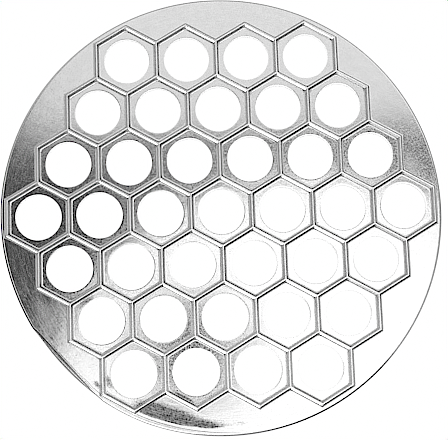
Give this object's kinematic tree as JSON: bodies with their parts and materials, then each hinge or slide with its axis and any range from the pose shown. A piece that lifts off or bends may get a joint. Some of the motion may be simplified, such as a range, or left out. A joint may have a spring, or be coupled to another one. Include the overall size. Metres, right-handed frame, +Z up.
{
  "type": "dumpling mold",
  "caption": "Round cast aluminium dumpling mold: a plate with a honeycomb of raised ridges, a round hole in each cell and a turned-down rim.",
  "frame": {"origin": "middle of the rim's foot, on the surface that the mold stands on", "axes": "+Z up out of the ridged face, +X to the right and +Y to the back as the picture shows it, with the middle row of cells along X"},
  "size_m": [0.245, 0.245, 0.014],
  "materials": {
    "cast_aluminium": "satin"
  },
  "bodies": {
    "root": {"mold_plate": "cast_aluminium"}
  },
  "joints": []
}
